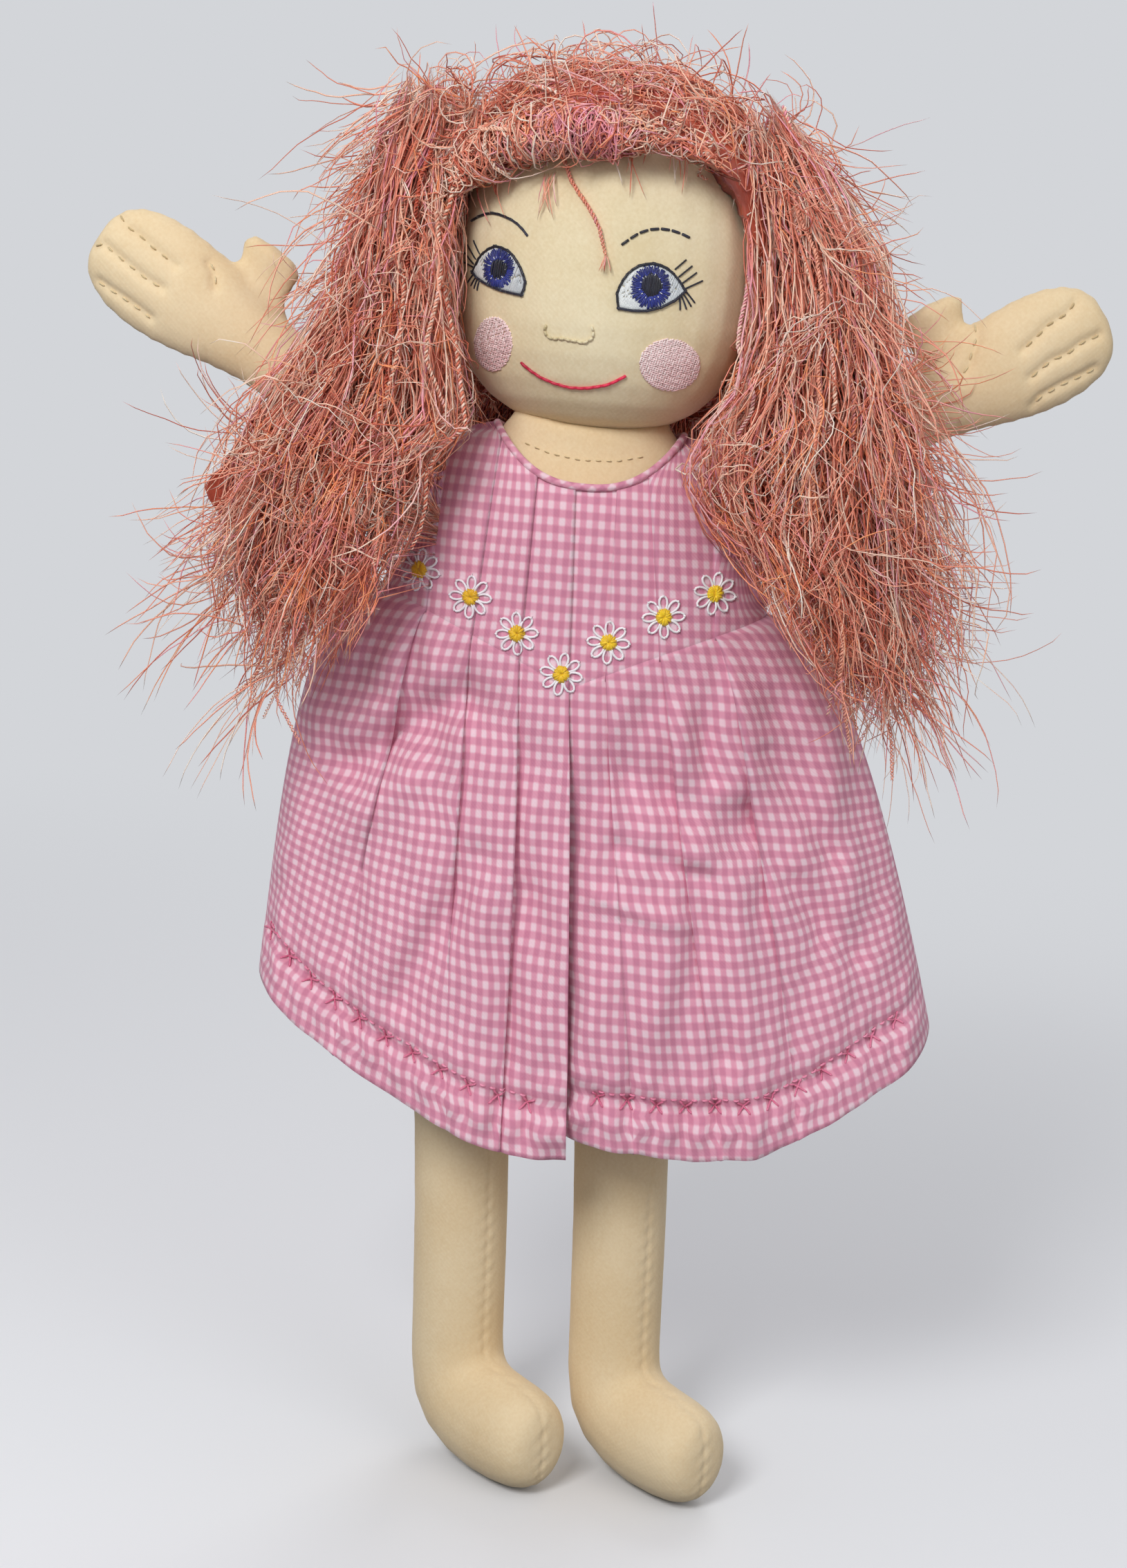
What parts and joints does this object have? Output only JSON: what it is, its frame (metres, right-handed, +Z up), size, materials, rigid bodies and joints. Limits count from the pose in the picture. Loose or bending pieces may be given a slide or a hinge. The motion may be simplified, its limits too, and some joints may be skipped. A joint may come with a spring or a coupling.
{
  "type": "rag doll",
  "caption": "Stuffed cloth rag doll in a sleeveless gingham dress with a row of daisies, long yarn hair, a stitched face, and jointed arms, legs and neck.",
  "frame": {"origin": "on the surface the doll stands on, under the middle of its box", "axes": "+Z up through the head, -Y towards the doll's front, +X to the doll's left hand"},
  "size_m": [0.3269, 0.0999, 0.4655],
  "materials": {
    "muslin": "matte",
    "face_muslin": "matte",
    "gingham": "matte",
    "piping": "matte",
    "white_thread": "satin",
    "blue_thread": "satin",
    "black_thread": "satin",
    "pink_thread": "satin",
    "red_thread": "satin",
    "cream_thread": "satin",
    "yarn": "satin",
    "button": "gloss"
  },
  "bodies": {
    "torso": {"torso": "muslin", "dress_yoke": "gingham", "skirt_front_left": "gingham", "skirt_front_right": "gingham", "dress_back_left": "gingham", "dress_back_right": "gingham", "neck_piping": "piping", "armhole_piping_left": "piping", "armhole_piping_right": "piping", "button_upper": "button", "button_lower": "button", "daisy_1": "white_thread", "daisy_2": "white_thread", "daisy_3": "white_thread", "daisy_4": "white_thread", "daisy_5": "white_thread", "daisy_6": "white_thread", "daisy_7": "white_thread"},
    "head": {"head": "face_muslin", "eye_white_left": "white_thread", "eye_white_right": "white_thread", "iris_left": "blue_thread", "iris_right": "blue_thread", "pupil_left": "black_thread", "pupil_right": "black_thread", "brow_left": "black_thread", "brow_right": "black_thread", "cheek_left": "pink_thread", "cheek_right": "pink_thread", "nose_stitch": "cream_thread", "mouth_stitch": "red_thread", "hair_cap": "yarn", "hair_fringe": "yarn", "hair_bunch_left": "yarn", "hair_bunch_right": "yarn", "hair_back": "yarn"},
    "arm_left": {"arm_left": "muslin"},
    "arm_right": {"arm_right": "muslin"},
    "leg_left": {"leg_left": "muslin"},
    "leg_right": {"leg_right": "muslin"}
  },
  "joints": [
    {"name": "neck_nod", "type": "hinge", "parent": "torso", "child": "head", "pos_m": [0, 0, 0.3545], "axis": [1, 0, 0], "range_deg": [-12, 12], "deforming": ["hair_bunch_left", "hair_bunch_right", "hair_back"]},
    {"name": "shoulder_left", "type": "hinge", "parent": "torso", "child": "arm_left", "pos_m": [0.04731, 0, 0.3305], "axis": [0, 1, 0], "range_deg": [-23, 62]},
    {"name": "shoulder_right", "type": "hinge", "parent": "torso", "child": "arm_right", "pos_m": [-0.04731, 0, 0.3305], "axis": [0, -1, 0], "range_deg": [-21, 64]},
    {"name": "hip_left", "type": "hinge", "parent": "torso", "child": "leg_left", "pos_m": [0.02725, 0, 0.19816], "axis": [-1, 0, 0], "range_deg": [-4, 85], "deforming": ["skirt_front_left"]},
    {"name": "hip_right", "type": "hinge", "parent": "torso", "child": "leg_right", "pos_m": [-0.02725, 0, 0.19816], "axis": [-1, 0, 0], "range_deg": [-4, 85], "deforming": ["skirt_front_right"]}
  ]
}
